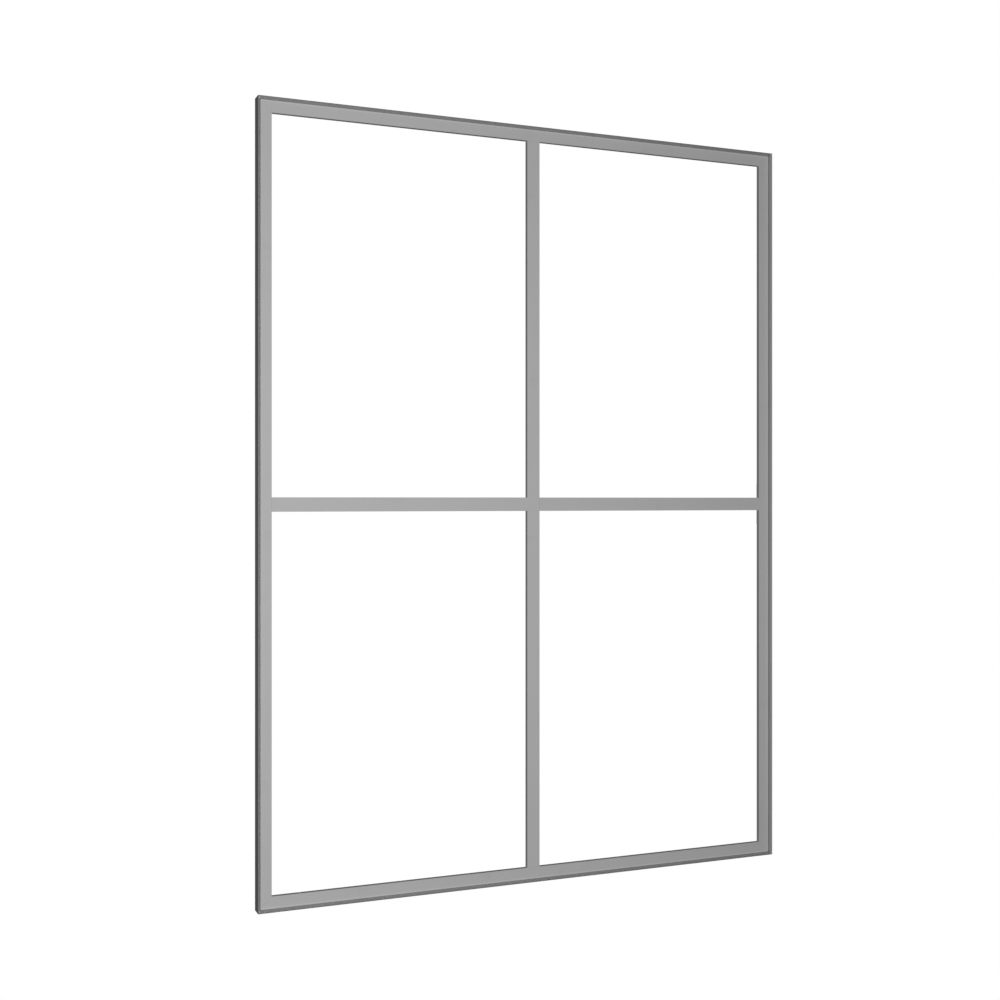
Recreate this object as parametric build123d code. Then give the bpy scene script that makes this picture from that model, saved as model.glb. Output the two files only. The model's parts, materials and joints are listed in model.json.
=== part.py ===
from build123d import *
import math
import os

os.makedirs("parts", exist_ok=True)

# Bare aluminium exhibition wall panel: a mitred frame for stretched fabric,
# with a centre mullion and a centre transom that leave four open bays.
# Millimetres. X runs across the panel, the front faces -Y and Z points up.
# The origin is the middle of the bottom rail's outer face, which stands on the floor.

# Overall size of the frame
panel_width = 1850.0
panel_height = 2500.0

# Section of the perimeter extrusion, from the front edge to the back:
# a fabric slot between two thin walls, a hollow box and a groove for cleats.
rail_width = 45.5
lip_height = 15.0
box_thickness = 15.5
groove_height = 14.5
outer_wall = 2.0
slot_width = 4.2
slot_wall = 1.3
box_wall = 1.8
groove_width = 20.0
groove_wall = 2.0
groove_lip = 4.0
groove_lip_thickness = 2.0
edge_radius = 0.3
box_edge_radius = 0.4

# Mullion and transom: a flat hollow section, flush with the box of the perimeter extrusion
bar_width = 44.5
bar_wall = 1.8

# Hairlines left between sawn ends
mitre_gap = 0.15
butt_gap = 0.15

# L-shaped corner cleats, which slide in the groove at the back
cleat_length = 90.0
cleat_thickness = 8.0
cleat_side_play = 0.3
cleat_screw_radius = 3.0
cleat_screw_inset = 14.0
cleat_screw_pitch = 32.0

# Flat brackets screwed to the backs of the mullion and the transom
plate_thickness = 3.0
plate_margin = 1.5
plate_leg_margin = 5.0
plate_corner_radius = 5.0
tee_bar_length = 150.0
tee_leg_length = 90.0
cross_arm_length = 110.0
plate_screw_radius = 2.75
plate_screw_inset = 12.0
plate_screw_pitch = 28.0

# Places that follow from the sizes above. In a section, u runs inwards from the
# outer face and v runs back from the front edge.
face_v = lip_height
back_v = face_v + box_thickness
panel_depth = back_v + groove_height
slot_end = outer_wall + slot_width
lip_width = slot_end + slot_wall
groove_end = outer_wall + groove_width
groove_back = groove_end + groove_wall
front_y = -panel_depth / 2
back_y = front_y + back_v
half_width = panel_width / 2
middle_z = panel_height / 2


def strip(u0, v0, u1, v1):
    """A flat rectangle, given by two opposite corners."""
    return Pos((u0 + u1) / 2, (v0 + v1) / 2) * Rectangle(u1 - u0, v1 - v0)


def corners_at(section, places):
    """The corners of a section that lie at the given places."""
    return [section.vertices().sort_by_distance((u, v, 0))[0] for u, v in places]


def perimeter_section():
    """Section of the perimeter extrusion, with its edges that show rounded."""
    skin = strip(0, 0, outer_wall, panel_depth)
    inner_slot_wall = strip(slot_end, 0, lip_width, face_v)
    box = strip(0, face_v, rail_width, back_v)
    groove_side = strip(groove_end, back_v, groove_back, panel_depth)
    mouth = (outer_wall + groove_lip, groove_end - groove_lip)
    lip_v = panel_depth - groove_lip_thickness
    outer_lip = strip(outer_wall, lip_v, mouth[0], panel_depth)
    inner_lip = strip(mouth[1], lip_v, groove_end, panel_depth)
    chamber_front = face_v + box_wall
    chamber_back = back_v - box_wall
    outer_chamber = strip(outer_wall, chamber_front, groove_end, chamber_back)
    inner_chamber = strip(groove_back, chamber_front, rail_width - box_wall, chamber_back)
    section = skin + inner_slot_wall + box + groove_side + outer_lip + inner_lip
    section = section - outer_chamber - inner_chamber
    front_corners = [(0, 0), (outer_wall, 0), (slot_end, 0), (lip_width, 0)]
    box_corners = [(rail_width, face_v), (rail_width, back_v)]
    back_corners = [(u, panel_depth) for u in (0, mouth[0], mouth[1], groove_back)]
    section = fillet(corners_at(section, front_corners + back_corners), edge_radius)
    return fillet(corners_at(section, box_corners), box_edge_radius)


def mitred_bar(section, length):
    """A length of the perimeter extrusion with both ends sawn to 45 degrees."""
    bar = extrude(section, amount=length)
    setback = mitre_gap / math.sqrt(2)
    near_cut = Plane(origin=(0, 0, setback), z_dir=(-1, 0, 1))
    far_cut = Plane(origin=(0, 0, length - setback), z_dir=(-1, 0, -1))
    bar = split(bar, bisect_by=near_cut, keep=Keep.TOP)
    return split(bar, bisect_by=far_cut, keep=Keep.TOP)


def flat_bar(length, start, along):
    """A sawn length of the mullion's section, laid from its start along a direction."""
    outside = fillet(Rectangle(bar_width, box_thickness).vertices(), box_edge_radius)
    section = outside - Rectangle(bar_width - 2 * bar_wall, box_thickness - 2 * bar_wall)
    across = (along[2], 0, -along[0])
    seat = Plane(origin=start, x_dir=across, z_dir=along)
    return seat.location * extrude(section, amount=length)


def drilled_sheet(outline, places, radius, thickness):
    """A flat piece of the given outline with a through hole at each place."""
    for u, v in places:
        outline = outline - Pos(u, v) * Circle(radius)
    return extrude(outline, amount=thickness)


def screw_row(end, inset, pitch):
    """Two screw distances along a leg, counted back from its end."""
    return (end - inset, end - inset - pitch)


def corner_cleat():
    """L-shaped cleat for two mitred ends; its local axes run along their outer faces."""
    near = outer_wall + cleat_side_play
    far = groove_end - cleat_side_play
    legs = strip(near, near, cleat_length, far) + strip(near, near, far, cleat_length)
    middle = (near + far) / 2
    places = []
    for reach in screw_row(cleat_length, cleat_screw_inset, cleat_screw_pitch):
        places += [(reach, middle), (middle, reach)]
    return drilled_sheet(legs, places, cleat_screw_radius, cleat_thickness)


def plate(outline, places):
    """A flat bracket with rounded corners and a clearance hole at each screw's place."""
    rounded = fillet(outline.vertices(), plate_corner_radius)
    return drilled_sheet(rounded, places, plate_screw_radius, plate_thickness)


def tee_bracket():
    """Tee plate: its bar lies along a rail and its leg along the mullion or the transom.

    Local X runs along the rail's inner edge and local Y points into the panel.
    """
    near = groove_back + plate_margin - rail_width
    far = -plate_margin
    half_leg = bar_width / 2 - plate_leg_margin
    bar = strip(-tee_bar_length / 2, near, tee_bar_length / 2, far)
    leg = strip(-half_leg, near, half_leg, tee_leg_length)
    places = []
    for reach in screw_row(tee_bar_length / 2, plate_screw_inset, plate_screw_pitch):
        places += [(reach, (near + far) / 2), (-reach, (near + far) / 2)]
    for reach in screw_row(tee_leg_length, plate_screw_inset, plate_screw_pitch):
        places += [(0, reach)]
    return plate(bar + leg, places)


def cross_bracket():
    """Cross plate that ties the two halves of the transom to the mullion."""
    breadth = bar_width - 2 * plate_leg_margin
    span = 2 * cross_arm_length
    places = []
    for reach in screw_row(cross_arm_length, plate_screw_inset, plate_screw_pitch):
        places += [(reach, 0), (-reach, 0), (0, reach), (0, -reach)]
    return plate(Rectangle(span, breadth) + Rectangle(breadth, span), places)


def save(solid, node):
    """Write one piece under its node's name."""
    solid.label = node
    export_step(solid, "parts/" + node + ".step")


# The four members follow each other round the frame, as seen from the front:
# up the left side, across the top, down the right side and back along the bottom.
corners = [(-half_width, 0), (-half_width, panel_height), (half_width, panel_height), (half_width, 0)]
members = ["left_stile", "top_rail", "right_stile", "bottom_rail"]
cleats = ["cleat_bottom_left", "cleat_top_left", "cleat_top_right", "cleat_bottom_right"]

# The grub screws jack each cleat back against the groove's lips
cleat_y = front_y + panel_depth - groove_lip_thickness - cleat_thickness

section = perimeter_section()
for index in range(4):
    x0, z0 = corners[index]
    x1, z1 = corners[(index + 1) % 4]
    length = abs(x1 - x0) + abs(z1 - z0)
    along = ((x1 - x0) / length, 0, (z1 - z0) / length)
    inwards = (along[2], 0, -along[0])
    start = Plane(origin=(x0, front_y, z0), x_dir=inwards, z_dir=along)
    save(start.location * mitred_bar(section, length), members[index])
    seat = Plane(origin=(x0, cleat_y, z0), x_dir=along, z_dir=(0, 1, 0))
    save(seat.location * corner_cleat(), cleats[index])

# The mullion runs from rail to rail, and the transom's halves stand beside it
bar_y = front_y + face_v + box_thickness / 2
mullion_length = panel_height - 2 * rail_width - 2 * butt_gap
mullion_foot = (0, bar_y, rail_width + butt_gap)
save(flat_bar(mullion_length, mullion_foot, (0, 0, 1)), "centre_mullion")

transom_start = bar_width / 2 + butt_gap
transom_length = half_width - rail_width - butt_gap - transom_start
for side, node in ((-1, "left_transom"), (1, "right_transom")):
    start = (side * transom_start, bar_y, middle_z)
    save(flat_bar(transom_length, start, (side, 0, 0)), node)

# Each tee is placed by the middle of a rail's inner edge and the way into the panel
tees = {
    "tee_bracket_top": (0, panel_height - rail_width, (0, 0, -1)),
    "tee_bracket_bottom": (0, rail_width, (0, 0, 1)),
    "tee_bracket_left": (rail_width - half_width, middle_z, (1, 0, 0)),
    "tee_bracket_right": (half_width - rail_width, middle_z, (-1, 0, 0)),
}
for node, (x, z, into_panel) in tees.items():
    across = (-into_panel[2], 0, into_panel[0])
    seat = Plane(origin=(x, back_y, z), x_dir=across, z_dir=(0, 1, 0))
    save(seat.location * tee_bracket(), node)

centre = Plane(origin=(0, back_y, middle_z), x_dir=(1, 0, 0), z_dir=(0, 1, 0))
save(centre.location * cross_bracket(), "cross_bracket")
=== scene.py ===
# %% [markdown]
# # Dressing a bare exhibition wall panel
#
# The panel is an upright aluminium frame, 1.85 m wide and 2.5 m high. Printed fabric is stretched
# over the front of such a frame, and a thin silicone edge sewn to the fabric is pushed into the slot
# that runs round it. Here the fabric is off, so the metal is all there is to see.
#
# The solids come from the CAD model and keep their shape. This lesson gives them a camera, a studio,
# the finishes of real aluminium and zinc-plated steel, and the small screws that hold the frame together.

import json
import math

import bmesh
import bpy
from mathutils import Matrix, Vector

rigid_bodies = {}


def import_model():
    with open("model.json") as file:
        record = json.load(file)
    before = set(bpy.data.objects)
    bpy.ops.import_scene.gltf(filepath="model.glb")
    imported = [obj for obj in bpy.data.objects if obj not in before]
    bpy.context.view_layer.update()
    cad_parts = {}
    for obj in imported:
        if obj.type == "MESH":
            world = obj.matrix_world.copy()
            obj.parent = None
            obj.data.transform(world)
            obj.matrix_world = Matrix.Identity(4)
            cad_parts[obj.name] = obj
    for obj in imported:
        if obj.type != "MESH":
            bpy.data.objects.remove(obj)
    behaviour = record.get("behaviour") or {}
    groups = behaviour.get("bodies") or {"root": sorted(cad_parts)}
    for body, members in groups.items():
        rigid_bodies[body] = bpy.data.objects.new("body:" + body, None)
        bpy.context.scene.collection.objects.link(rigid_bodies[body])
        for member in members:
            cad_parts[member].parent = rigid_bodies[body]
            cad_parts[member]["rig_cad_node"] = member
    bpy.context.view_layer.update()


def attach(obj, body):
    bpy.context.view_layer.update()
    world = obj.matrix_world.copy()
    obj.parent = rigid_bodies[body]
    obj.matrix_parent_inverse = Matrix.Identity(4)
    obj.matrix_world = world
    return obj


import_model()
solids = {piece["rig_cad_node"]: piece for piece in bpy.data.objects if "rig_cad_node" in piece}
print("solids:", sorted(solids))

# %% [markdown]
# ## The camera
#
# In the photograph the uprights stay upright and do not lean towards each other, so the camera was
# level. It stood to the left of the frame at half its height and looked a little to the right.
# Turning a level camera about the vertical is enough. Aiming it at the middle of the frame and
# correcting the lean with lens shift would give the same picture with one more number to find.

# %% Place the camera
# Lens and sensor in millimetres, the place in metres
LENS = 49.32
SENSOR_WIDTH = 36.0
CAMERA_PLACE = (-1.8456, -4.1641, 1.264)
LEVEL = math.pi / 2
CAMERA_TURN = math.radians(-22.543)

camera_data = bpy.data.cameras.new("photo_camera")
camera_data.lens = LENS
camera_data.sensor_width = SENSOR_WIDTH
camera = bpy.data.objects.new("photo_camera", camera_data)
camera.location = CAMERA_PLACE
camera.rotation_euler = (LEVEL, 0, CAMERA_TURN)
bpy.context.scene.collection.objects.link(camera)
bpy.context.scene.camera = camera
print("distance to the plane of the frame:", round(-CAMERA_PLACE[1], 3), "m")

# %% [markdown]
# ## Writing shader sums as sums
#
# A finish is built from numbers that change over the surface: how dark, how rough, how high. In the
# shader editor each sum is one more Math node. The class below holds the output of a node and adds
# the Math node for us, so that `1 - stain * 0.3` is written as it is read. Every other kind of node
# comes from its one method `node`, which sets the node's own settings first and then its sockets.


# %% A small class for shader sums
class Shade:
    """One output of a shader node, or only its tree while nothing has been made yet."""

    def __init__(self, tree, output=None):
        self.tree = tree
        self.output = output

    def node(self, kind, settings=None, inputs=None, output=0):
        """Add a node of any kind; sockets are named or numbered, and take a number or a Shade."""
        made = self.tree.nodes.new(kind)
        for name, value in (settings or {}).items():
            if name == "stops":
                fill_ramp(made.color_ramp, value)
            else:
                setattr(made, name, value)
        for name, value in (inputs or {}).items():
            if isinstance(value, Shade):
                self.tree.links.new(value.output, made.inputs[name])
            else:
                made.inputs[name].default_value = value
        return Shade(self.tree, made.outputs[output] if made.outputs else None)

    def math(self, operation, first, second):
        return self.node("ShaderNodeMath", {"operation": operation}, {0: first, 1: second})

    def __add__(self, other):
        return self.math("ADD", self, other)

    __radd__ = __add__

    def __sub__(self, other):
        return self.math("SUBTRACT", self, other)

    def __rsub__(self, other):
        return self.math("SUBTRACT", other, self)

    def __mul__(self, other):
        return self.math("MULTIPLY", self, other)

    __rmul__ = __mul__

    def __abs__(self):
        return self.math("ABSOLUTE", self, 0.0)

    def swing(self, amount):
        """Noise moved to swing about 0, by half the amount either way."""
        return (self - 0.5) * amount

    def rise(self, low, high):
        """A smooth step: 0 at low and 1 at high."""
        limits = {"Value": self, "From Min": low, "From Max": high}
        return self.node("ShaderNodeMapRange", {"interpolation_type": "SMOOTHSTEP"}, limits)


def fill_ramp(ramp, stops):
    """Set a ramp's greys; the stops are in rising order, and the ramp starts with two."""
    for index, (place, grey) in enumerate(stops):
        if index >= 2:
            ramp.elements.new(place)
        ramp.elements[index].position = place
        ramp.elements[index].color = (grey, grey, grey, 1.0)


def tone(grey, warmth=0.0):
    """A grey as a colour, a touch warmer or, below zero, cooler."""
    return (grey * (1 + warmth), grey, grey * (1 - warmth), 1.0)


WHITE = tone(1.0)
print("shader sums are ready")

# %% [markdown]
# ## The studio
#
# The background of the photograph is white all over, and the metal is brightest where it faces the
# camera. Metal shows what stands round it, so what the metal can see decides its shades: a large
# soft light in front, dim walls at the sides and a darker room behind, all a little dimmer towards
# the ceiling and the floor. One sky that changes from front to back gives all of that. The camera
# itself sees a plain white backdrop and a pale floor.
#
# Blender usually aims part of its samples at the sky as if it were a lamp. This sky is dim and changes
# slowly, so the rays that bounce off the metal find it well enough by themselves. With the sky off the
# list of lamps, more samples go to the real ones, and the back of the bottom rail shows less grain.

# %% Light the studio
scene = bpy.context.scene
scene.view_settings.view_transform = "Standard"

world = bpy.data.worlds.new("studio")
world.use_nodes = True
world.node_tree.nodes.clear()
world.cycles.sampling_method = "NONE"
scene.world = world

# Brightness of the room, from straight ahead of the frame (0) over its sides (0.5) to behind it (1),
# and how much of it is lost towards the ceiling and the floor
ROOM_LEVELS = [
    (0.0, 0.22), (0.06, 0.20), (0.16, 0.06), (0.4, 0.02), (0.7, 0.015), (0.9, 0.015), (1.0, 0.01),
]
ROOM_FALLOFF = 0.3

room = Shade(world.node_tree)
direction = room.node("ShaderNodeTexCoord", output="Generated")
to_back = room.node("ShaderNodeSeparateXYZ", inputs={0: direction}, output="Y")
upwards = room.node("ShaderNodeSeparateXYZ", inputs={0: direction}, output="Z")
# A direction runs from -1 to 1, and the ramp of levels from 0 to 1
room_light = room.node("ShaderNodeValToRGB", {"stops": ROOM_LEVELS}, {"Fac": to_back * 0.5 + 0.5})
strength = 1.0 - abs(upwards) * ROOM_FALLOFF
glow = room.node("ShaderNodeBackground", inputs={"Color": room_light, "Strength": strength})
backdrop = room.node("ShaderNodeBackground", inputs={"Color": WHITE, "Strength": 1.0})
seen = room.node("ShaderNodeLightPath", output="Is Camera Ray")
sky = room.node("ShaderNodeMixShader", inputs={0: seen, 1: glow, 2: backdrop})
room.node("ShaderNodeOutputWorld", inputs={"Surface": sky})
print("room levels from front to back:", [grey for place, grey in ROOM_LEVELS])

# %% [markdown]
# The floor is a wide pale disc. It is white to the camera, as in the photograph, and it is kept out
# of the reflections, because the sky above already holds the light that a studio floor sends back.
# A glowing disc would also count as a huge lamp, and many samples near the ground would be spent on
# light that never arrives. So it isn't sampled as a lamp.

# %% Lay the floor
FLOOR_RADIUS = 40.0
FLOOR_SIDES = 64
# The floor lies just under the frame, so that the two never share a plane
FLOOR_DROP = 0.0005

floor_paint = bpy.data.materials.new("pale_floor")
floor_paint.use_nodes = True
floor_paint.node_tree.nodes.clear()
floor_shade = Shade(floor_paint.node_tree)
floor_light = floor_shade.node("ShaderNodeEmission", inputs={"Color": WHITE, "Strength": 1.0})
floor_shade.node("ShaderNodeOutputMaterial", inputs={"Surface": floor_light})
floor_paint.cycles.emission_sampling = "NONE"

floor_disc = bmesh.new()
bmesh.ops.create_circle(floor_disc, cap_ends=True, radius=FLOOR_RADIUS, segments=FLOOR_SIDES)
floor_mesh = bpy.data.meshes.new("floor")
floor_disc.to_mesh(floor_mesh)
floor_disc.free()
floor_mesh.materials.append(floor_paint)
floor = bpy.data.objects.new("floor", floor_mesh)
floor.location.z = -FLOOR_DROP
floor.visible_diffuse = False
floor.visible_glossy = False
floor.visible_shadow = False
scene.collection.objects.link(floor)
print("floor:", 2 * FLOOR_RADIUS, "m across")

# %% [markdown]
# Three soft lights finish the studio. One is a panel of light right behind the camera: whatever the
# camera sees, that light reaches too, so no shadow falls across the face and the slot is lit down
# its walls. The second stands far behind the frame on its right, for the back and the right side. It
# is wide, so that the deep groove isn't black, and low, so that little of it falls on the tops of the
# bars. The third is small and hangs straight above, where the top rail shades nearly all that is under
# it, so it lights little more than the top. None shows in the metal as a bright spot, because all are
# kept out of the reflections.


# %% Set up the soft lights
def soft_light(name, place, aim, sides, power):
    """A panel of light at a place, turned towards another, that reflections leave out."""
    lamp = bpy.data.lights.new(name, "AREA")
    lamp.shape = "RECTANGLE"
    lamp.size, lamp.size_y = sides
    lamp.energy = power
    panel = bpy.data.objects.new(name, lamp)
    panel.location = place
    panel.rotation_euler = (Vector(aim) - Vector(place)).to_track_quat("-Z", "Y").to_euler()
    panel.visible_glossy = False
    scene.collection.objects.link(panel)
    print(name, power, "W over", sides[0], "by", sides[1], "m")


FRAME_MIDDLE = (0.0, 0.0, 1.25)
CAMERA_LIGHT_SIDES = (0.6, 0.6)
CAMERA_LIGHT_PLACE = (-1.88, -4.24, 1.264)
CAMERA_LIGHT_POWER = 147.0
BACK_LIGHT_SIDES = (16.0, 2.0)
BACK_LIGHT_PLACE = (11.0, 16.5, 1.25)
BACK_LIGHT_POWER = 5400.0
TOP_LIGHT_SIDES = (0.1, 0.1)
TOP_LIGHT_PLACE = (0.0, 0.0, 6.5)
TOP_LIGHT_POWER = 60.0
soft_light("camera_light", CAMERA_LIGHT_PLACE, FRAME_MIDDLE, CAMERA_LIGHT_SIDES, CAMERA_LIGHT_POWER)
soft_light("back_light", BACK_LIGHT_PLACE, FRAME_MIDDLE, BACK_LIGHT_SIDES, BACK_LIGHT_POWER)
soft_light("top_light", TOP_LIGHT_PLACE, FRAME_MIDDLE, TOP_LIGHT_SIDES, TOP_LIGHT_POWER)

# %% [markdown]
# ## Satin anodised aluminium
#
# The members are extruded, so the die leaves fine lines that run along each length. They are then
# etched matt and anodised, which gives an even satin grey with faint clouds in its tone. Handling
# adds soft smudges and a few hair scratches, and the arrises wear a little brighter.
#
# A picture of brushed metal could be wrapped round each bar, but it would repeat and need unwrapping.
# Noise that is stretched hundreds of times along the bar gives the same lines from the shape's own
# coordinates. The uprights and the level bars need it stretched in different directions, so one
# function makes both finishes.

# %% Helpers for a metal finish
# Matt skins scatter part of the light, so every finish here counts as only half a metal
METAL_SHARE = 0.5


def new_finish(name):
    """An empty material, and a Shade that adds nodes to it."""
    material = bpy.data.materials.new(name)
    material.use_nodes = True
    material.node_tree.nodes.clear()
    return material, Shade(material.node_tree)


def evenly(count):
    """The same number of grains a metre on all three axes."""
    return (count, count, count)


def stretched_noise(place, scale, detail=2.0, turn=(0.0, 0.0, 0.0)):
    """Noise between 0 and 1, with its own number of grains a metre on each axis."""
    mapped = place.node("ShaderNodeMapping", inputs={"Vector": place, "Rotation": turn, "Scale": scale})
    return place.node("ShaderNodeTexNoise", inputs={"Vector": mapped, "Scale": 1.0, "Detail": detail})


def metal(shade, grey, roughness, height, depth, warmth=0.0, share=METAL_SHARE):
    """Join a grey, a roughness and a height to a metal surface."""
    dark, light = tone(0.0, warmth), tone(1.0, warmth)
    # When a Mix node mixes colours, 0 is its factor, 6 and 7 are its colours, and output 2 the result
    mix = {"data_type": "RGBA"}
    colour = shade.node("ShaderNodeMix", mix, {0: grey, 6: dark, 7: light}, output=2)
    bump = shade.node("ShaderNodeBump", inputs={"Height": height, "Distance": depth})
    surface = {"Base Color": colour, "Metallic": share, "Roughness": roughness, "Normal": bump}
    principled = shade.node("ShaderNodeBsdfPrincipled", inputs=surface)
    shade.node("ShaderNodeOutputMaterial", inputs={"Surface": principled})


print("finish helpers are ready")

# %% [markdown]
# The raised edge carries painted light. Its front edges, its inner wall and its slot are painted darker
# than the face as painted shade, and the inner wall more so towards its foot. On the face beside that
# foot a painted highlight, a brighter band, lightens the shade that the raised edge casts there.
# Arrises and the outer faces, which are pushed against the next panel, are rubbed bright in places.
#
# Each of these marks is a mask between 0 and 1 that comes from two numbers: how far a point lies from
# the middle of the panel, and how deep it lies behind the front. Painting a picture of the marks would
# do the same, but it would have to be painted again for every length of bar.

# %% Measure the section
# Metres; the first line is depths, from the front edge to the rear one
FRONT, FACE, BACK, REAR = -0.0225, -0.0075, 0.0080, 0.0225
HALF_WIDTH = 0.925
HALF_HEIGHT = 1.25
RAIL_WIDTH = 0.0455
LIP_WIDTH = 0.0075
SLOT_END = 0.0062
OUTER_WALL = 0.0020
BAR_HALF_WIDTH = 0.02225


def perimeter_arrises(half):
    """The arrises of the perimeter extrusion: distance from the middle, and depth."""
    inner_edge, lip_edge = half - RAIL_WIDTH, half - LIP_WIDTH
    return ((half, FRONT), (lip_edge, FRONT), (inner_edge, FACE), (inner_edge, BACK), (half, REAR))


BAR_ARRISES = ((BAR_HALF_WIDTH, FACE), (BAR_HALF_WIDTH, BACK))
print("arrises of a stile:", perimeter_arrises(HALF_WIDTH))

# %% Mark the worn arrises
# A mask changes over the first length, and wear reaches the second one from an arris
SOFT_EDGE = 0.0002
ARRIS_WEAR = 0.0011
WEAR_COUNT = 70.0
WEAR_LIMITS = (0.42, 0.62)


def worn_arrises(place, from_middle, depth, arrises):
    """1 where an arris has been rubbed, in patches, and 0 elsewhere."""
    worn = 0.0
    for arris, arris_depth in arrises:
        beside = 1.0 - abs(from_middle - arris).rise(SOFT_EDGE, ARRIS_WEAR)
        behind = 1.0 - abs(depth - arris_depth).rise(SOFT_EDGE, ARRIS_WEAR)
        worn = beside * behind + worn
    return worn * stretched_noise(place, evenly(WEAR_COUNT), detail=4.0).rise(*WEAR_LIMITS)


print("wear reaches", ARRIS_WEAR, "m from an arris, in about", WEAR_COUNT, "patches a metre")

# %% Mark the raised edge and its slot
# Shares of grey that each place on the raised edge loses to painted shade, and shares of metal that it
# loses; a painted highlight adds grey on the face at its foot
SKIN_EDGE_PAINTED_SHADE = 0.50
WALL_EDGE_PAINTED_SHADE = 0.30
INNER_WALL_PAINTED_SHADE = 0.42
WALL_METAL_LOSS = 0.40
SLOT_PAINTED_SHADE = 0.16
SLOT_METAL_LOSS = 0.18
SKIN_METAL_LOSS = 0.12
FOOT_PAINTED_HIGHLIGHT = 0.12
# More painted shade darkens the raised edge's inner wall towards its foot, over this height above the
# face
WALL_FOOT_PAINTED_SHADE = 0.17
WALL_FOOT_SHADE_REACH = 0.010
# The painted highlight beside the foot starts and is full this far from the inner wall
FOOT_HIGHLIGHT_START = 0.0064
FOOT_HIGHLIGHT_FULL = 0.0046


def lip_tones(from_middle, depth, half):
    """Painted shade and highlight on the raised edge, as a grey amount, and an amount for the share of
    metal.
    """
    wall, slot_inner, slot_outer = half - LIP_WIDTH, half - SLOT_END, half - OUTER_WALL
    in_lip = from_middle.rise(wall - SOFT_EDGE, wall) * (1.0 - depth.rise(FACE, FACE + SOFT_EDGE))
    behind_edge = depth.rise(FRONT + SOFT_EDGE, FRONT + 2 * SOFT_EDGE)
    past_wall = from_middle.rise(slot_inner - 2 * SOFT_EDGE, slot_inner - SOFT_EDGE)
    before_skin = 1.0 - from_middle.rise(slot_outer, slot_outer + SOFT_EDGE)
    on_skin = from_middle.rise(slot_outer - 2 * SOFT_EDGE, slot_outer - SOFT_EDGE)

    # Painted shade on the front edges of the raised edge, more on the outer skin's edge than on the inner
    # wall's
    edges = in_lip * (1.0 - behind_edge)
    edge_painted_shade = past_wall * (SKIN_EDGE_PAINTED_SHADE - WALL_EDGE_PAINTED_SHADE) + WALL_EDGE_PAINTED_SHADE
    inner_wall = in_lip * behind_edge * (1.0 - past_wall)
    # Painted shade on the inner wall, deeper towards its foot at the face
    wall_painted_shade = depth.rise(FACE - WALL_FOOT_SHADE_REACH, FACE) * WALL_FOOT_PAINTED_SHADE + INNER_WALL_PAINTED_SHADE
    slot = in_lip * behind_edge * past_wall * before_skin
    # A painted highlight: a brighter band on the face beside the foot of the raised edge, where the
    # raised edge shades the face
    foot = from_middle.rise(wall - FOOT_HIGHLIGHT_START, wall - FOOT_HIGHLIGHT_FULL)
    foot = foot * (1.0 - from_middle.rise(wall - SOFT_EDGE, wall))

    # The grey adds the painted highlight and takes away the painted shade
    grey = foot * FOOT_PAINTED_HIGHLIGHT - edges * edge_painted_shade - inner_wall * wall_painted_shade
    # Painted shade darkens the slot, all but the inner side of the outer skin
    grey = grey - slot * (1.0 - on_skin) * SLOT_PAINTED_SHADE
    metal_loss = inner_wall * WALL_METAL_LOSS + slot * SLOT_METAL_LOSS + slot * on_skin * SKIN_METAL_LOSS
    return grey, 0.0 - metal_loss


# The painted shade on the inner wall reaches this far up from the face
print("the raised edge is", LIP_WIDTH, "m wide, and painted_wall_shade reaches", WALL_FOOT_SHADE_REACH, "m up its inner wall")

# %% [markdown]
# Lines and streaks follow the die, so they have many grains a metre across the bar and only one or two
# along it. Clouds and smudges are as long as they are wide. Scratches run at a slant. The marks are
# faint: each moves the grey, the roughness or the height by a small share.

# %% Choose the marks of the satin
SATIN_GREY = 0.84
SATIN_ROUGHNESS = 0.32
SATIN_DEPTH = 0.00002
# Grains a metre, across the bar and along it
LINE_COUNTS = (1100.0, 1.5)
STREAK_COUNTS = (130.0, 0.7)
RUB_COUNTS = (45.0, 2.2)
# Grains a metre, the same on all axes or one number for each
CLOUD_COUNT = 5.0
SMUDGE_COUNT = 16.0
SCRATCH_COUNTS = (16.0, 16.0, 1300.0)
SCRATCH_TURN = (0.5, 0.9, 0.3)
# Noise up to the first number leaves no mark, and from the second on a full one
SMUDGE_LIMITS = (0.56, 0.74)
SCRATCH_LIMITS = (0.70, 0.77)
RUB_LIMITS = (0.40, 0.66)
# How far each mark moves the grey, the roughness and the height
LINE_GREY, STREAK_GREY, CLOUD_GREY = 0.03, 0.05, 0.05
SMUDGE_GREY, SCRATCH_GREY, WEAR_GREY, RUB_GREY = 0.02, 0.03, 0.06, 0.08
STREAK_ROUGHNESS, CLOUD_ROUGHNESS, SMUDGE_ROUGHNESS = 0.14, 0.08, 0.05
SCRATCH_POLISH, WEAR_POLISH, RUB_POLISH = 0.08, 0.12, 0.07
LINE_HEIGHT, STREAK_HEIGHT, SCRATCH_HEIGHT = 0.7, 0.3, 0.6
print("grains a metre across a bar:", LINE_COUNTS[0], "lines and", STREAK_COUNTS[0], "streaks")


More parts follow.
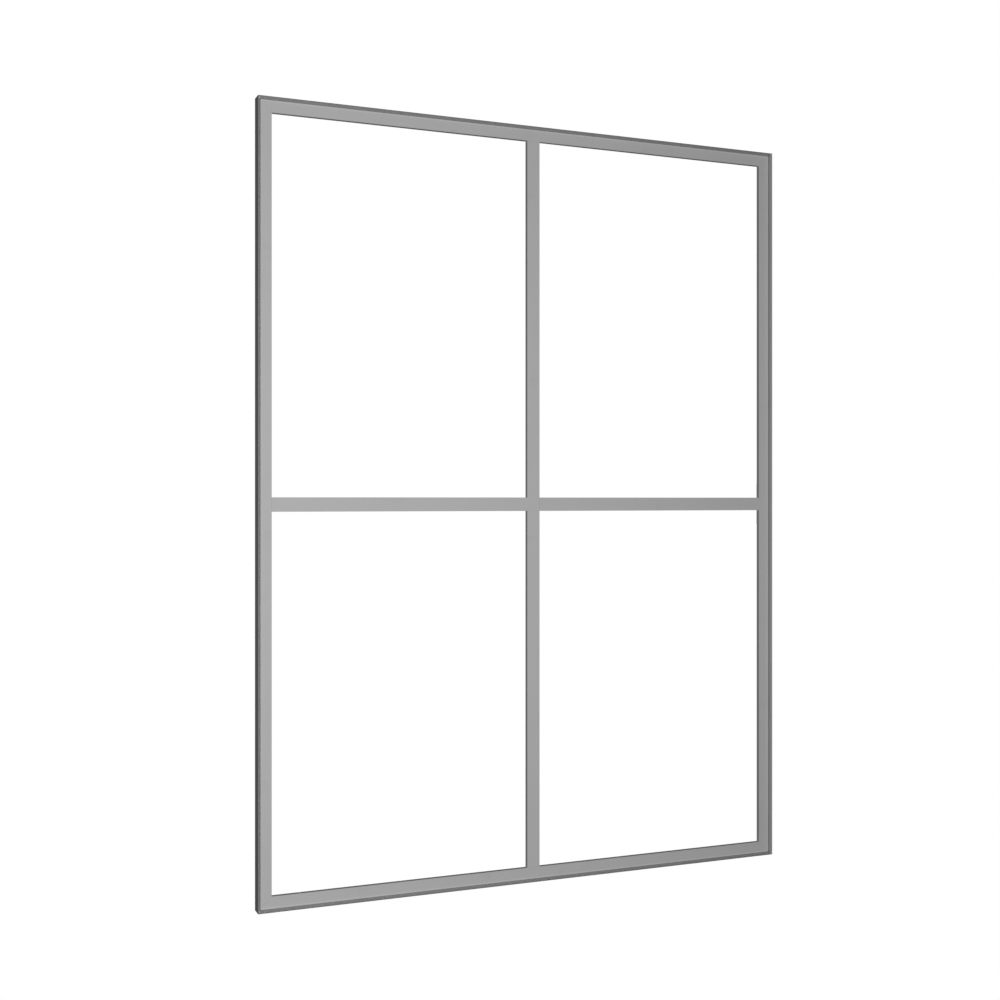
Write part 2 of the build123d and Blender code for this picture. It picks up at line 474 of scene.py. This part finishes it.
# %% Make the anodised finishes
def satin_anodised(name, upright, arrises, half=None):
    """Anodised extrusion whose die lines run up or across.

    A half size is given for the perimeter extrusion, which has a raised edge and an outer face.
    """
    material, shade = new_finish(name)
    place = shade.node("ShaderNodeTexCoord", output="Object")
    offset = place.node("ShaderNodeSeparateXYZ", inputs={0: place}, output="X" if upright else "Z")
    depth = place.node("ShaderNodeSeparateXYZ", inputs={0: place}, output="Y")
    from_middle = abs(offset - (0.0 if upright else HALF_HEIGHT))

    def lengthwise(counts):
        """Grains a metre on each axis, from a count across the bar and one along it."""
        across, along = counts
        return (across, across, along) if upright else (along, across, across)

    lines = stretched_noise(place, lengthwise(LINE_COUNTS))
    streaks = stretched_noise(place, lengthwise(STREAK_COUNTS), detail=3.0)
    clouds = stretched_noise(place, evenly(CLOUD_COUNT), detail=3.0)
    smudges = stretched_noise(place, evenly(SMUDGE_COUNT), detail=4.0).rise(*SMUDGE_LIMITS)
    scratches = stretched_noise(place, SCRATCH_COUNTS, turn=SCRATCH_TURN).rise(*SCRATCH_LIMITS)
    worn = worn_arrises(place, from_middle, depth, arrises)

    grey = lines.swing(LINE_GREY) + streaks.swing(STREAK_GREY) + clouds.swing(CLOUD_GREY) + SATIN_GREY
    grey = grey - smudges * SMUDGE_GREY + scratches * SCRATCH_GREY + worn * WEAR_GREY
    roughness = streaks.swing(STREAK_ROUGHNESS) + clouds.swing(CLOUD_ROUGHNESS) + SATIN_ROUGHNESS
    roughness = roughness + smudges * SMUDGE_ROUGHNESS - scratches * SCRATCH_POLISH - worn * WEAR_POLISH
    share = METAL_SHARE
    if half:
        # The raised edge gets painted shade and a painted highlight in its grey, and a lower share of
        # metal
        lip_painted_light, lip_share = lip_tones(from_middle, depth, half)
        rubs = stretched_noise(place, lengthwise(RUB_COUNTS), detail=4.0).rise(*RUB_LIMITS)
        rubs = rubs * from_middle.rise(half - 2 * SOFT_EDGE, half - SOFT_EDGE)
        grey = grey + lip_painted_light + rubs * RUB_GREY
        roughness = roughness - rubs * RUB_POLISH
        share = lip_share + METAL_SHARE
    height = lines * LINE_HEIGHT + streaks * STREAK_HEIGHT - scratches * SCRATCH_HEIGHT
    metal(shade, grey, roughness, height, SATIN_DEPTH, share=share)
    return material


STILE_ARRISES, RAIL_ARRISES = perimeter_arrises(HALF_WIDTH), perimeter_arrises(HALF_HEIGHT)
stile_finish = satin_anodised("satin_anodised_stile", True, STILE_ARRISES, HALF_WIDTH)
rail_finish = satin_anodised("satin_anodised_rail", False, RAIL_ARRISES, HALF_HEIGHT)
mullion_finish = satin_anodised("satin_anodised_mullion", True, BAR_ARRISES)
transom_finish = satin_anodised("satin_anodised_transom", False, BAR_ARRISES)
print("anodised finishes: stile, rail, mullion, transom")

# %% [markdown]
# ## Cast cleats
#
# The corner cleats are die-cast aluminium and tumbled dull. Their skin has a fine even grain and tiny
# pits, and it is darker than the extrusion. Pits could be cut into the mesh, but there would be
# thousands, each less than a millimetre wide. A pattern of cells paints shade into them instead, and a
# bump lets them catch the light as hollows.

# %% Make the cast finish
CAST_GREY, CAST_ROUGHNESS, CAST_DEPTH = 0.44, 0.52, 0.00008
CAST_GRAIN_COUNT, CAST_FLOW_COUNT, PIT_COUNT = 1400.0, 60.0, 420.0
# In cell widths from a pit's middle: it is full up to the first and has run out at the second
PIT_LIMITS = (0.06, 0.22)
CAST_GRAIN_GREY, CAST_FLOW_GREY, PIT_PAINTED_SHADE = 0.08, 0.14, 0.12
CAST_FLOW_ROUGHNESS, PIT_ROUGHNESS = 0.16, 0.10
CAST_GRAIN_HEIGHT, CAST_FLOW_HEIGHT = 0.5, 0.5


def cast_metal(name):
    """Fine grained die casting with small pits."""
    material, shade = new_finish(name)
    place = shade.node("ShaderNodeTexCoord", output="Object")
    grain = stretched_noise(place, evenly(CAST_GRAIN_COUNT), detail=2.0)
    flow = stretched_noise(place, evenly(CAST_FLOW_COUNT), detail=4.0)
    cells = {"Vector": place, "Scale": PIT_COUNT}
    pits = 1.0 - place.node("ShaderNodeTexVoronoi", inputs=cells, output="Distance").rise(*PIT_LIMITS)
    # Painted shade darkens the pits in place of the shade of real hollows
    grey = grain.swing(CAST_GRAIN_GREY) + flow.swing(CAST_FLOW_GREY) + CAST_GREY - pits * PIT_PAINTED_SHADE
    roughness = flow.swing(CAST_FLOW_ROUGHNESS) + CAST_ROUGHNESS + pits * PIT_ROUGHNESS
    height = grain * CAST_GRAIN_HEIGHT + flow * CAST_FLOW_HEIGHT - pits
    metal(shade, grey, roughness, height, CAST_DEPTH)
    return material


cleat_finish = cast_metal("die_cast_cleat")
print("finish of the cleats:", cleat_finish.name)

# %% [markdown]
# ## Rolled brackets
#
# The flat brackets are cut from rolled aluminium plate, tumbled to take the burrs off, and anodised.
# All are cut from one sheet in the same direction, so fine rolling lines run one way across all of
# them, whichever way a bracket is turned. The lines are read from the place in the frame, which needs
# no direction of its own for each bracket.

# %% Make the rolled finish
ROLLED_GREY, ROLLED_ROUGHNESS, ROLLED_DEPTH = 0.66, 0.38, 0.00003
ROLLING_COUNTS = (25.0, 900.0, 900.0)
ROLLED_CLOUD_COUNT = 35.0
NICK_COUNTS = (500.0, 500.0, 90.0)
NICK_TURN = (0.2, 0.7, 0.4)
NICK_LIMITS = (0.70, 0.78)
ROLLING_GREY, ROLLED_CLOUD_GREY, NICK_GREY = 0.10, 0.10, 0.05
ROLLING_ROUGHNESS, ROLLED_CLOUD_ROUGHNESS = 0.12, 0.15
NICK_HEIGHT = 0.5


def rolled_plate(name):
    """Rolled sheet, tumbled dull, with lines along the rolling direction."""
    material, shade = new_finish(name)
    place = shade.node("ShaderNodeTexCoord", output="Object")
    rolling = stretched_noise(place, ROLLING_COUNTS, detail=3.0)
    clouds = stretched_noise(place, evenly(ROLLED_CLOUD_COUNT), detail=3.0)
    nicks = stretched_noise(place, NICK_COUNTS, turn=NICK_TURN).rise(*NICK_LIMITS)
    grey = rolling.swing(ROLLING_GREY) + clouds.swing(ROLLED_CLOUD_GREY) + ROLLED_GREY + nicks * NICK_GREY
    roughness = rolling.swing(ROLLING_ROUGHNESS) + clouds.swing(ROLLED_CLOUD_ROUGHNESS) + ROLLED_ROUGHNESS
    metal(shade, grey, roughness, rolling - nicks * NICK_HEIGHT, ROLLED_DEPTH)
    return material


plate_finish = rolled_plate("rolled_bracket_plate")
print("finish of the brackets:", plate_finish.name)

# %% [markdown]
# ## Plated screws
#
# The screws are steel with a bright zinc plating. Grease and dust darken their sockets, and painted shade
# darkens them further, most at the floor of the socket. Since every screw sits elsewhere, coordinates
# can't tell where its socket is. The mesh says it instead: a number called socket is stored at each
# corner of the screw, and the finish reads it.

# %% Make the plated finish
ZINC_GREY, ZINC_ROUGHNESS, ZINC_DEPTH = 0.62, 0.28, 0.00002
ZINC_WARMTH = -0.03
ZINC_GRAIN_COUNT, STAIN_COUNT = 1800.0, 220.0
ZINC_GRAIN_GREY, STAIN_GREY, GREASE_AND_SHADE_GREY = 0.06, 0.16, 0.52
STAIN_ROUGHNESS, GREASE_ROUGHNESS = 0.20, 0.35


def plated_steel(name):
    """Bright zinc plating over turned steel, with a faint cool tint."""
    material, shade = new_finish(name)
    place = shade.node("ShaderNodeTexCoord", output="Object")
    grain = stretched_noise(place, evenly(ZINC_GRAIN_COUNT), detail=2.0)
    stains = stretched_noise(place, evenly(STAIN_COUNT), detail=3.0)
    # Grease and painted shade darken the socket, most at its floor
    grease_and_shade = place.node("ShaderNodeAttribute", {"attribute_name": "socket"}, output="Fac")
    grey = grain.swing(ZINC_GRAIN_GREY) + stains.swing(STAIN_GREY) + ZINC_GREY - grease_and_shade * GREASE_AND_SHADE_GREY
    roughness = stains.swing(STAIN_ROUGHNESS) + ZINC_ROUGHNESS + grease_and_shade * GREASE_ROUGHNESS
    metal(shade, grey, roughness, grain, ZINC_DEPTH, warmth=ZINC_WARMTH)
    return material


screw_finish = plated_steel("zinc_plated_steel")
print("finish of the screws:", screw_finish.name)

# %% [markdown]
# Each solid already has a material slot from the CAD model, so a finish is put on by filling that
# slot. The mesh itself stays untouched.

# %% Put the finishes on the solids
FINISHES = {
    "stile": stile_finish,
    "rail": rail_finish,
    "mullion": mullion_finish,
    "transom": transom_finish,
    "cleat": cleat_finish,
    "bracket": plate_finish,
}
for node, piece in sorted(solids.items()):
    kind = next(word for word in FINISHES if word in node)
    for material_slot in piece.material_slots:
        material_slot.material = FINISHES[kind]
    print(node, "is finished as", kind)

# %% [markdown]
# ## Screws
#
# Button-head screws hold the flat brackets on the back, and grub screws jack the cleats against the
# lips of their groove. Both are driven with a hexagon key. One of each is made as a mesh of rings:
# the rings follow the turned outline from the foot up to the rim of the socket, and the last rings
# are hexagons that go down into it. A Boolean could cut the socket instead, but it leaves long thin
# faces round the cut, and rings keep the mesh even.

# %% Shape a screw from rings
SCREW_SIDES = 24
# The drill that starts a socket leaves a shallow cone, this deep for a socket 1 from middle to flat
SOCKET_CONE = 0.3
# Edges that turn by more than this stay sharp
SHARP_TURN = math.radians(35)


def hexagon_reach(angle):
    """How far a hexagon's side is from its middle at an angle, for a distance of 1 to its flats."""
    sixth = math.pi / 3
    return 1 / math.cos((angle + sixth / 2) % sixth - sixth / 2)


def socket_screw(name, outline, socket):
    """A screw about the Y axis, from an outline of (radius, height) and its hexagon socket.

    The socket is given by its distance to a flat, the height of its rim and that of its floor.
    """
    to_flat, rim_height, floor_height = socket
    rings = [(radius, height, False) for radius, height in outline]
    rings += [(to_flat, rim_height, True), (to_flat, floor_height, True)]
    screw = bmesh.new()
    greasy_and_shaded = screw.verts.layers.float.new("socket")
    previous = None
    for radius, height, hexagon in rings:
        ring = []
        for step in range(SCREW_SIDES):
            angle = math.tau * step / SCREW_SIDES
            reach = radius * (hexagon_reach(angle) if hexagon else 1.0)
            ring.append(screw.verts.new((reach * math.cos(angle), height, reach * math.sin(angle))))
        for step in range(SCREW_SIDES if previous else 0):
            after = (step + 1) % SCREW_SIDES
            screw.faces.new((previous[step], previous[after], ring[after], ring[step]))
        if not previous:
            foot = ring
        previous = ring
    floor_point = screw.verts.new((0, floor_height - SOCKET_CONE * to_flat, 0))
    foot_point = screw.verts.new((0, outline[0][1], 0))
    # Grease and painted shade: the socket's floor is marked 1, and the mark fades to 0 at its rim
    for corner in previous + [floor_point]:
        corner[greasy_and_shaded] = 1.0
    for step in range(SCREW_SIDES):
        after = (step + 1) % SCREW_SIDES
        screw.faces.new((previous[step], previous[after], floor_point))
        screw.faces.new((foot[after], foot[step], foot_point))
    bmesh.ops.recalc_face_normals(screw, faces=screw.faces)
    mesh = bpy.data.meshes.new(name)
    screw.to_mesh(mesh)
    screw.free()
    mesh.set_sharp_from_angle(angle=SHARP_TURN)
    return bpy.data.objects.new(name, mesh)


print("a screw has", SCREW_SIDES, "sides")

# %% Make one screw of each kind
# Outlines and sockets are for a radius of 1 and a height of 1, and are stretched where they are used
BUTTON_OUTLINE = [
    (0.50, -1.05), (0.526, -1.0), (0.526, 0.0), (0.94, 0.0), (1.0, 0.05), (1.0, 0.14),
    (0.97, 0.32), (0.89, 0.53), (0.77, 0.72), (0.64, 0.86), (0.52, 0.94), (0.42, 0.97),
]
BUTTON_SOCKET = (0.316, 0.96, 0.38)
GRUB_OUTLINE = [(0.70, 0.0), (0.98, 0.10), (1.0, 0.14), (1.0, 0.92), (0.93, 1.0), (0.66, 1.0)]
GRUB_SOCKET = (0.508, 0.985, 0.45)

button_screw = socket_screw("button_screw", BUTTON_OUTLINE, BUTTON_SOCKET)
grub_screw = socket_screw("grub_screw", GRUB_OUTLINE, GRUB_SOCKET)
print("faces of a button screw:", len(button_screw.data.polygons))
print("faces of a grub screw:", len(grub_screw.data.polygons))

# %% [markdown]
# ## Setting the screws in their holes
#
# The holes are known from the solids, so the screws stand on a list of places. Geometry Nodes copy
# one screw to every place and turn each by its own chance amount, as a fitter leaves them. Copying
# in Python would do too, but a node tree keeps the sizes as named inputs that anyone can change.


# %% Build the tree that sets screws
def screw_setting_tree():
    """Geometry Nodes: one screw on every point, sized, turned and finished."""
    tree = bpy.data.node_groups.new("set_screws", "GeometryNodeTree")
    tree.interface.new_socket("Places", in_out="INPUT", socket_type="NodeSocketGeometry")
    tree.interface.new_socket("Screw", in_out="INPUT", socket_type="NodeSocketObject")
    tree.interface.new_socket("Radius", in_out="INPUT", socket_type="NodeSocketFloat")
    tree.interface.new_socket("Height", in_out="INPUT", socket_type="NodeSocketFloat")
    tree.interface.new_socket("Turn Seed", in_out="INPUT", socket_type="NodeSocketInt")
    tree.interface.new_socket("Finish", in_out="INPUT", socket_type="NodeSocketMaterial")
    tree.interface.new_socket("Screws", in_out="OUTPUT", socket_type="NodeSocketGeometry")

    given = tree.nodes.new("NodeGroupInput").outputs
    screw = tree.nodes.new("GeometryNodeObjectInfo")
    turn = tree.nodes.new("FunctionNodeRandomValue")
    turn.data_type = "FLOAT"
    turns = [socket for socket in turn.inputs if socket.enabled]
    angles = tree.nodes.new("ShaderNodeCombineXYZ")
    rotation = tree.nodes.new("FunctionNodeEulerToRotation")
    sizes = tree.nodes.new("ShaderNodeCombineXYZ")
    copies = tree.nodes.new("GeometryNodeInstanceOnPoints")
    plain = tree.nodes.new("GeometryNodeRealizeInstances")
    finished = tree.nodes.new("GeometryNodeSetMaterial")
    result = tree.nodes.new("NodeGroupOutput")

    for socket in turns:
        if socket.name == "Max":
            socket.default_value = math.tau
        if socket.name == "Seed":
            tree.links.new(given["Turn Seed"], socket)
    turned = next(socket for socket in turn.outputs if socket.enabled)
    tree.links.new(given["Screw"], screw.inputs["Object"])
    tree.links.new(turned, angles.inputs["Y"])
    tree.links.new(angles.outputs[0], rotation.inputs[0])
    tree.links.new(given["Radius"], sizes.inputs["X"])
    tree.links.new(given["Height"], sizes.inputs["Y"])
    tree.links.new(given["Radius"], sizes.inputs["Z"])
    tree.links.new(given["Places"], copies.inputs["Points"])
    tree.links.new(screw.outputs["Geometry"], copies.inputs["Instance"])
    tree.links.new(rotation.outputs[0], copies.inputs["Rotation"])
    tree.links.new(sizes.outputs[0], copies.inputs["Scale"])
    tree.links.new(copies.outputs[0], plain.inputs[0])
    tree.links.new(plain.outputs[0], finished.inputs["Geometry"])
    tree.links.new(given["Finish"], finished.inputs["Material"])
    tree.links.new(finished.outputs[0], result.inputs[0])
    return tree


SCREW_TREE = screw_setting_tree()
print("inputs:", [item.name for item in SCREW_TREE.interface.items_tree if item.in_out == "INPUT"])


# %% Set a list of screws
def set_screws(name, places, inputs):
    """Screws at the places, as one plain mesh that belongs to the frame."""
    mesh = bpy.data.meshes.new(name)
    mesh.from_pydata(places, [], [])
    piece = bpy.data.objects.new(name, mesh)
    scene.collection.objects.link(piece)
    modifier = piece.modifiers.new("set_screws", "NODES")
    modifier.node_group = SCREW_TREE
    for item in SCREW_TREE.interface.items_tree:
        if item.in_out == "INPUT" and item.name in inputs:
            modifier[item.identifier] = inputs[item.name]
    evaluated = piece.evaluated_get(bpy.context.evaluated_depsgraph_get())
    plain = bpy.data.meshes.new_from_object(evaluated)
    piece.modifiers.remove(modifier)
    piece.data = plain
    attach(piece, "root")
    print(name, len(places), "screws,", len(plain.polygons), "faces")


print("screws can be set")

# %% [markdown]
# ### Button-head screws on the brackets
#
# Each tee has four screws in a row along the rail or stile and two down its leg, and the cross has two
# on each arm. A tee's screws are counted from the middle of the inner edge of its rail or stile, along
# that edge and into the panel.

# %% Set the button-head screws
PLATE_THICKNESS = 0.0030
PLATE_BACK = BACK + PLATE_THICKNESS
TEE_LINE = -0.01075
TEE_BAR_REACHES = (-0.063, -0.035, 0.035, 0.063)
TEE_LEG_REACHES = (0.050, 0.078)
CROSS_REACHES = (-0.098, -0.070, 0.070, 0.098)
TEE_PLACES = [(reach, TEE_LINE) for reach in TEE_BAR_REACHES]
TEE_PLACES += [(0.0, reach) for reach in TEE_LEG_REACHES]
# Middle of the inner edge in X and Z, and the way into the panel
TEES = [
    (0.0, 2 * HALF_HEIGHT - RAIL_WIDTH, 0, -1),
    (0.0, RAIL_WIDTH, 0, 1),
    (RAIL_WIDTH - HALF_WIDTH, HALF_HEIGHT, 1, 0),
    (HALF_WIDTH - RAIL_WIDTH, HALF_HEIGHT, -1, 0),
]
button_places = []
for x, z, inward_x, inward_z in TEES:
    for across, inward in TEE_PLACES:
        place_x = x - inward_z * across + inward_x * inward
        place_z = z + inward_x * across + inward_z * inward
        button_places.append((place_x, PLATE_BACK, place_z))
for reach in CROSS_REACHES:
    button_places.append((reach, PLATE_BACK, HALF_HEIGHT))
    button_places.append((0.0, PLATE_BACK, HALF_HEIGHT + reach))

BUTTON_RADIUS = 0.00475
BUTTON_HEIGHT = 0.00275
BUTTON_SEED = 7
button_inputs = {
    "Screw": button_screw,
    "Radius": BUTTON_RADIUS,
    "Height": BUTTON_HEIGHT,
    "Turn Seed": BUTTON_SEED,
    "Finish": screw_finish,
}
set_screws("button_head_screws", button_places, button_inputs)

# %% [markdown]
# ### Grub screws in the cleats
#
# A grub screw has no head. It sits inside the thread of the cleat, its foot at the floor of the
# groove, with its end a little below the face. There are two in each leg of a cleat.

# %% Set the grub screws
CLEAT_LINE = 0.012
CLEAT_REACHES = (0.044, 0.076)
# The foot stays just off the floor, so that the two never share a plane
FOOT_GAP = 0.0002
GRUB_FOOT = BACK + FOOT_GAP

grub_places = []
for side in (-1, 1):
    for top in (0, 1):
        for reach in CLEAT_REACHES:
            for from_side, from_end in ((CLEAT_LINE, reach), (reach, CLEAT_LINE)):
                place_x = side * (HALF_WIDTH - from_side)
                place_z = 2 * HALF_HEIGHT - from_end if top else from_end
                grub_places.append((place_x, GRUB_FOOT, place_z))

GRUB_RADIUS = 0.00295
GRUB_HEIGHT = 0.0119
GRUB_SEED = 11
grub_inputs = {
    "Screw": grub_screw,
    "Radius": GRUB_RADIUS,
    "Height": GRUB_HEIGHT,
    "Turn Seed": GRUB_SEED,
    "Finish": screw_finish,
}
set_screws("grub_screws", grub_places, grub_inputs)
